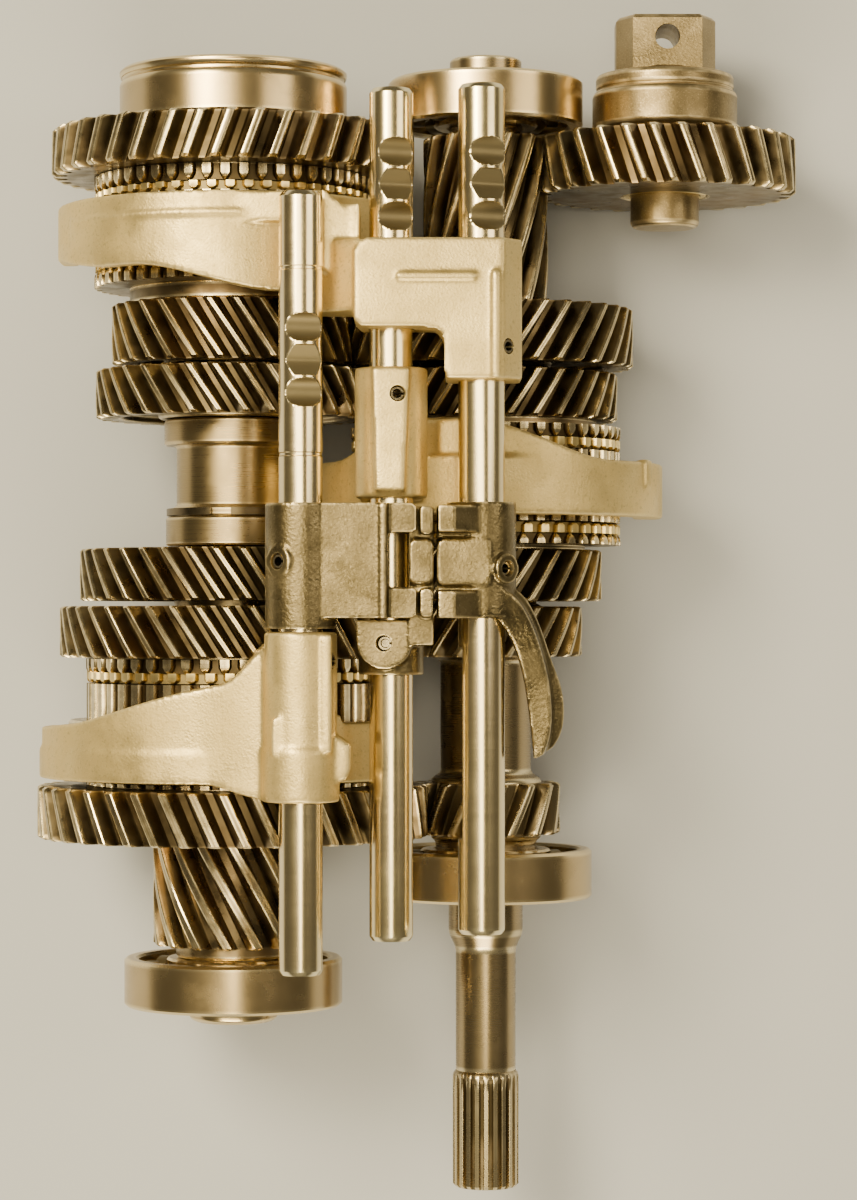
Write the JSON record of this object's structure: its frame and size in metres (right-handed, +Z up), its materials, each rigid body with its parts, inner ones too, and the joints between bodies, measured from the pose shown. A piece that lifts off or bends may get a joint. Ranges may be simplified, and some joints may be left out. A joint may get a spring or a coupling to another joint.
{
  "type": "manual transmission gear set",
  "caption": "Gear set of a manual transmission out of its casing: input and output shafts, helical gears, synchronisers, shift rods with forks, and a reverse idler.",
  "frame": {"origin": "centre of the bounding box in X and Y, on the surface that the gears rest on", "axes": "+Z up, +Y along both shafts away from the splined end, +X from the output shaft towards the input shaft"},
  "size_m": [0.2584, 0.4004, 0.1484],
  "materials": {
    "gear_steel": "dark ground and case-hardened steel, bright on the tooth tips",
    "shaft_steel": "ground and polished",
    "race_steel": "satin ground bearing steel",
    "synchro_brass": "satin, turned",
    "fork_alloy": "fine sand-cast, satin",
    "selector_iron": "rough cast, oiled",
    "pin_steel": "black spring steel"
  },
  "bodies": {
    "bearing_seats": {"output_front_bearing_outer_race": "race_steel", "output_rear_bearing_outer_race": "race_steel", "input_front_bearing_outer_race": "race_steel", "input_rear_bearing_outer_race": "race_steel", "idler_spindle": "fork_alloy", "idler_thrust_washer": "synchro_brass", "idler_bush": "synchro_brass"},
    "input_train": {"input_shaft": "gear_steel", "input_front_bearing_inner_race": "race_steel", "input_rear_bearing_inner_race": "race_steel", "synchro_hub_3_4": "gear_steel", "third_synchro_ring": "synchro_brass", "fourth_synchro_ring": "synchro_brass", "fifth_drive_gear": "gear_steel", "reverse_drive_gear": "gear_steel"},
    "output_train": {"output_shaft": "gear_steel", "output_shaft_nut": "race_steel", "output_front_bearing_inner_race": "race_steel", "output_rear_bearing_inner_race": "race_steel", "synchro_hub_1_2": "gear_steel", "first_synchro_ring": "synchro_brass", "second_synchro_ring": "synchro_brass", "third_driven_gear": "gear_steel", "fourth_driven_gear": "gear_steel", "output_spacer_sleeve": "race_steel", "output_split_ring": "shaft_steel", "synchro_hub_5_R": "gear_steel", "fifth_synchro_ring": "synchro_brass", "reverse_synchro_ring": "synchro_brass"},
    "first_gear_wheel": {"first_gear": "gear_steel"},
    "second_gear_wheel": {"second_gear": "gear_steel"},
    "fifth_gear_wheel": {"fifth_gear": "gear_steel"},
    "reverse_gear_wheel": {"reverse_gear": "gear_steel"},
    "third_drive_wheel": {"third_drive_gear": "gear_steel"},
    "fourth_drive_wheel": {"fourth_drive_gear": "gear_steel"},
    "reverse_idler_wheel": {"reverse_idler_gear": "gear_steel"},
    "output_front_cage": {"output_front_bearing_cage_and_rollers": "synchro_brass"},
    "output_rear_cage": {"output_rear_bearing_cage_and_rollers": "synchro_brass"},
    "input_front_cage": {"input_front_bearing_cage_and_rollers": "synchro_brass"},
    "input_rear_cage": {"input_rear_bearing_cage_and_rollers": "synchro_brass"},
    "sleeve_1_2": {"synchro_sleeve_1_2": "shaft_steel"},
    "sleeve_3_4": {"synchro_sleeve_3_4": "shaft_steel"},
    "sleeve_5_R": {"synchro_sleeve_5_R": "shaft_steel"},
    "rod_1_2": {"shift_rod_1_2": "shaft_steel", "shift_fork_1_2": "fork_alloy", "selector_plate_1_2": "selector_iron", "fork_1_2_pin": "pin_steel", "selector_1_2_pin": "pin_steel"},
    "rod_3_4": {"shift_rod_3_4": "shaft_steel", "shift_fork_3_4": "fork_alloy", "selector_jaw_3_4": "selector_iron", "fork_3_4_pin": "pin_steel", "jaw_3_4_pin": "pin_steel"},
    "rod_5_R": {"shift_rod_5_R": "shaft_steel", "shift_fork_5_R": "fork_alloy", "selector_lever_5_R": "selector_iron", "fork_5_R_pin": "pin_steel", "lever_5_R_pin": "pin_steel"}
  },
  "joints": [
    {"name": "input_spin", "type": "hinge", "parent": "bearing_seats", "child": "input_train", "pos_m": [0.0224, -0.00625, 0.0505], "axis": [0, 1, 0], "continuous": true},
    {"name": "output_spin", "type": "hinge", "parent": "bearing_seats", "child": "output_train", "pos_m": [-0.0632, -0.00625, 0.066], "axis": [0, 1, 0], "continuous": true},
    {"name": "first_gear_spin", "type": "hinge", "parent": "bearing_seats", "child": "first_gear_wheel", "pos_m": [-0.0632, -0.07025, 0.066], "axis": [0, 1, 0], "continuous": true},
    {"name": "second_gear_spin", "type": "hinge", "parent": "bearing_seats", "child": "second_gear_wheel", "pos_m": [-0.0632, -0.01025, 0.066], "axis": [0, 1, 0], "continuous": true},
    {"name": "fifth_gear_spin", "type": "hinge", "parent": "bearing_seats", "child": "fifth_gear_wheel", "pos_m": [-0.0632, 0.08975, 0.066], "axis": [0, 1, 0], "continuous": true},
    {"name": "reverse_gear_spin", "type": "hinge", "parent": "bearing_seats", "child": "reverse_gear_wheel", "pos_m": [-0.0632, 0.15075, 0.066], "axis": [0, 1, 0], "continuous": true},
    {"name": "third_drive_spin", "type": "hinge", "parent": "bearing_seats", "child": "third_drive_wheel", "pos_m": [0.0224, 0.00875, 0.0505], "axis": [0, 1, 0], "continuous": true},
    {"name": "fourth_drive_spin", "type": "hinge", "parent": "bearing_seats", "child": "fourth_drive_wheel", "pos_m": [0.0224, 0.06975, 0.0505], "axis": [0, 1, 0], "continuous": true},
    {"name": "reverse_idler_spin", "type": "hinge", "parent": "bearing_seats", "child": "reverse_idler_wheel", "pos_m": [0.0842, 0.14875, 0.0452], "axis": [0, 1, 0], "continuous": true},
    {"name": "output_front_cage_spin", "type": "hinge", "parent": "bearing_seats", "child": "output_front_cage", "pos_m": [-0.0632, -0.12825, 0.066], "axis": [0, 1, 0], "continuous": true},
    {"name": "output_rear_cage_spin", "type": "hinge", "parent": "bearing_seats", "child": "output_rear_cage", "pos_m": [-0.0632, 0.16975, 0.066], "axis": [0, 1, 0], "continuous": true},
    {"name": "input_front_cage_spin", "type": "hinge", "parent": "bearing_seats", "child": "input_front_cage", "pos_m": [0.0224, -0.09225, 0.0505], "axis": [0, 1, 0], "continuous": true},
    {"name": "input_rear_cage_spin", "type": "hinge", "parent": "bearing_seats", "child": "input_rear_cage", "pos_m": [0.0224, 0.16975, 0.0505], "axis": [0, 1, 0], "continuous": true},
    {"name": "rod_1_2_slide", "type": "slide", "parent": "bearing_seats", "child": "rod_1_2", "axis": [0, 1, 0], "range_m": [0, 0.018]},
    {"name": "rod_3_4_slide", "type": "slide", "parent": "bearing_seats", "child": "rod_3_4", "axis": [0, 1, 0], "range_m": [-0.01, 0.01]},
    {"name": "rod_5_R_slide", "type": "slide", "parent": "bearing_seats", "child": "rod_5_R", "axis": [0, 1, 0], "range_m": [-0.01, 0.01]},
    {"name": "sleeve_1_2_slide", "type": "slide", "parent": "output_train", "child": "sleeve_1_2", "axis": [0, 1, 0], "range_m": [0, 0.018]},
    {"name": "sleeve_3_4_slide", "type": "slide", "parent": "input_train", "child": "sleeve_3_4", "axis": [0, 1, 0], "range_m": [-0.01, 0.01]},
    {"name": "sleeve_5_R_slide", "type": "slide", "parent": "output_train", "child": "sleeve_5_R", "axis": [0, 1, 0], "range_m": [-0.01, 0.01]}
  ],
  "couplings": [
    {"joint": "output_spin", "follows": "input_spin", "ratio": -0.36585},
    {"joint": "first_gear_spin", "follows": "input_spin", "ratio": -0.36585},
    {"joint": "second_gear_spin", "follows": "input_spin", "ratio": -0.54762},
    {"joint": "fifth_gear_spin", "follows": "input_spin", "ratio": -1.2414},
    {"joint": "third_drive_spin", "follows": "input_spin", "ratio": 0.48345},
    {"joint": "fourth_drive_spin", "follows": "input_spin", "ratio": 0.37729},
    {"joint": "reverse_idler_spin", "follows": "input_spin", "ratio": -0.44828},
    {"joint": "output_front_cage_spin", "follows": "input_spin", "ratio": -0.14634},
    {"joint": "output_rear_cage_spin", "follows": "input_spin", "ratio": -0.14634},
    {"joint": "input_front_cage_spin", "follows": "input_spin", "ratio": 0.4},
    {"joint": "input_rear_cage_spin", "follows": "input_spin", "ratio": 0.4},
    {"joint": "sleeve_1_2_slide", "follows": "rod_1_2_slide", "ratio": 1},
    {"joint": "sleeve_3_4_slide", "follows": "rod_3_4_slide", "ratio": 1},
    {"joint": "sleeve_5_R_slide", "follows": "rod_5_R_slide", "ratio": 1}
  ]
}
